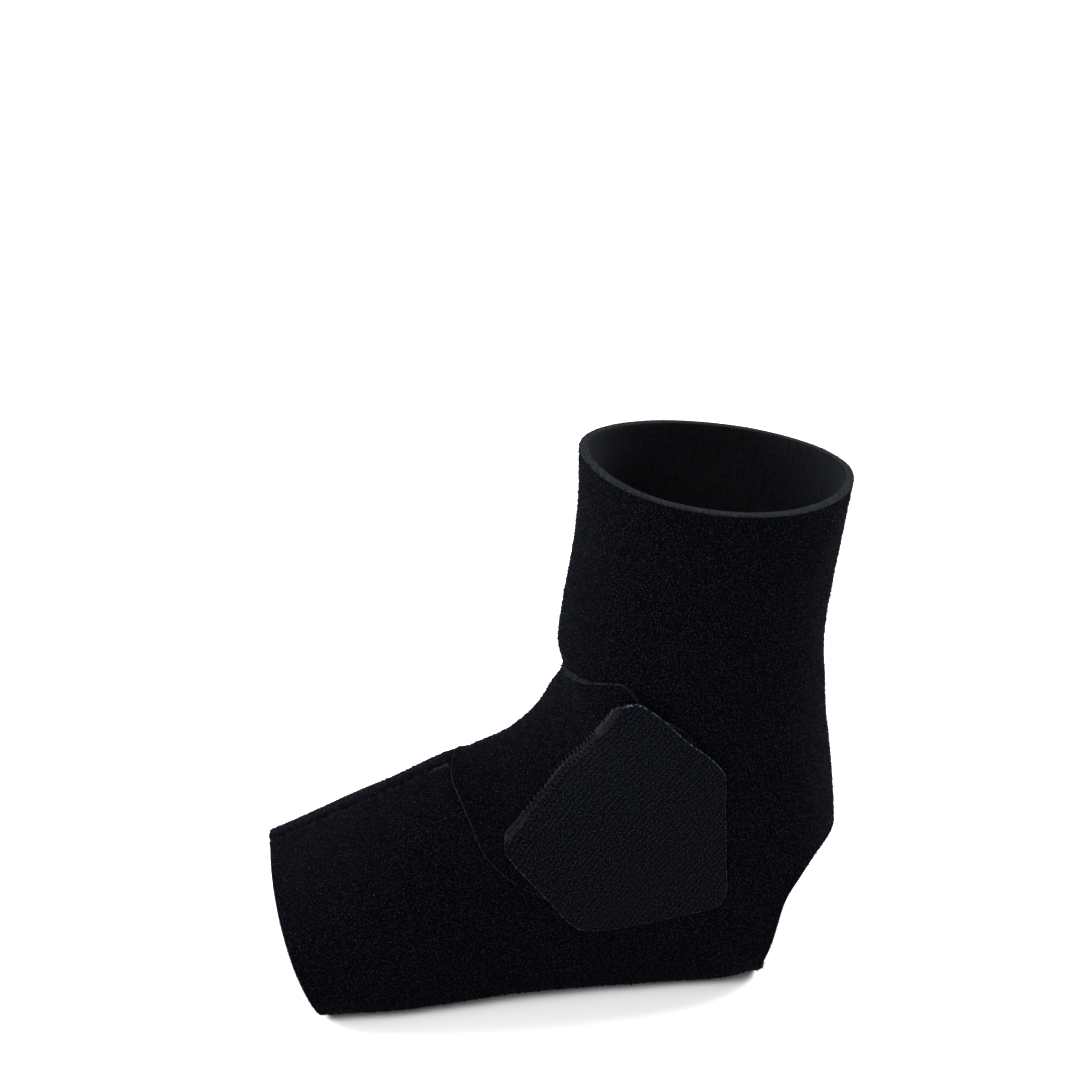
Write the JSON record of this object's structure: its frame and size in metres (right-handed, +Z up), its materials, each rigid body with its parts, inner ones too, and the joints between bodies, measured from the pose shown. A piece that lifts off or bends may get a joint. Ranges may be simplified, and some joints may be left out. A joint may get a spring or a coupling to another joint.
{
  "type": "foot compression wrap",
  "caption": "Left foot and ankle compression wrap: a soft black sleeve open at toe, heel and ankle, with a strap over the instep that closes on the outer side with a hook tab.",
  "frame": {"origin": "on the flat underside of the sole, below the middle of the foot", "axes": "+X from the toes towards the heel, -Y to the outer side of the foot, +Z up"},
  "size_m": [0.2046, 0.0955, 0.1963],
  "materials": {
    "loop_neoprene": "black neoprene laminate with a brushed loop pile outside and a knitted lining inside",
    "hook_tape": "woven back of black hook tape, matte, with a sealed cut edge"
  },
  "bodies": {
    "root": {"sleeve": "loop_neoprene", "instep_strap": "loop_neoprene", "hook_tab": "hook_tape"}
  },
  "joints": []
}
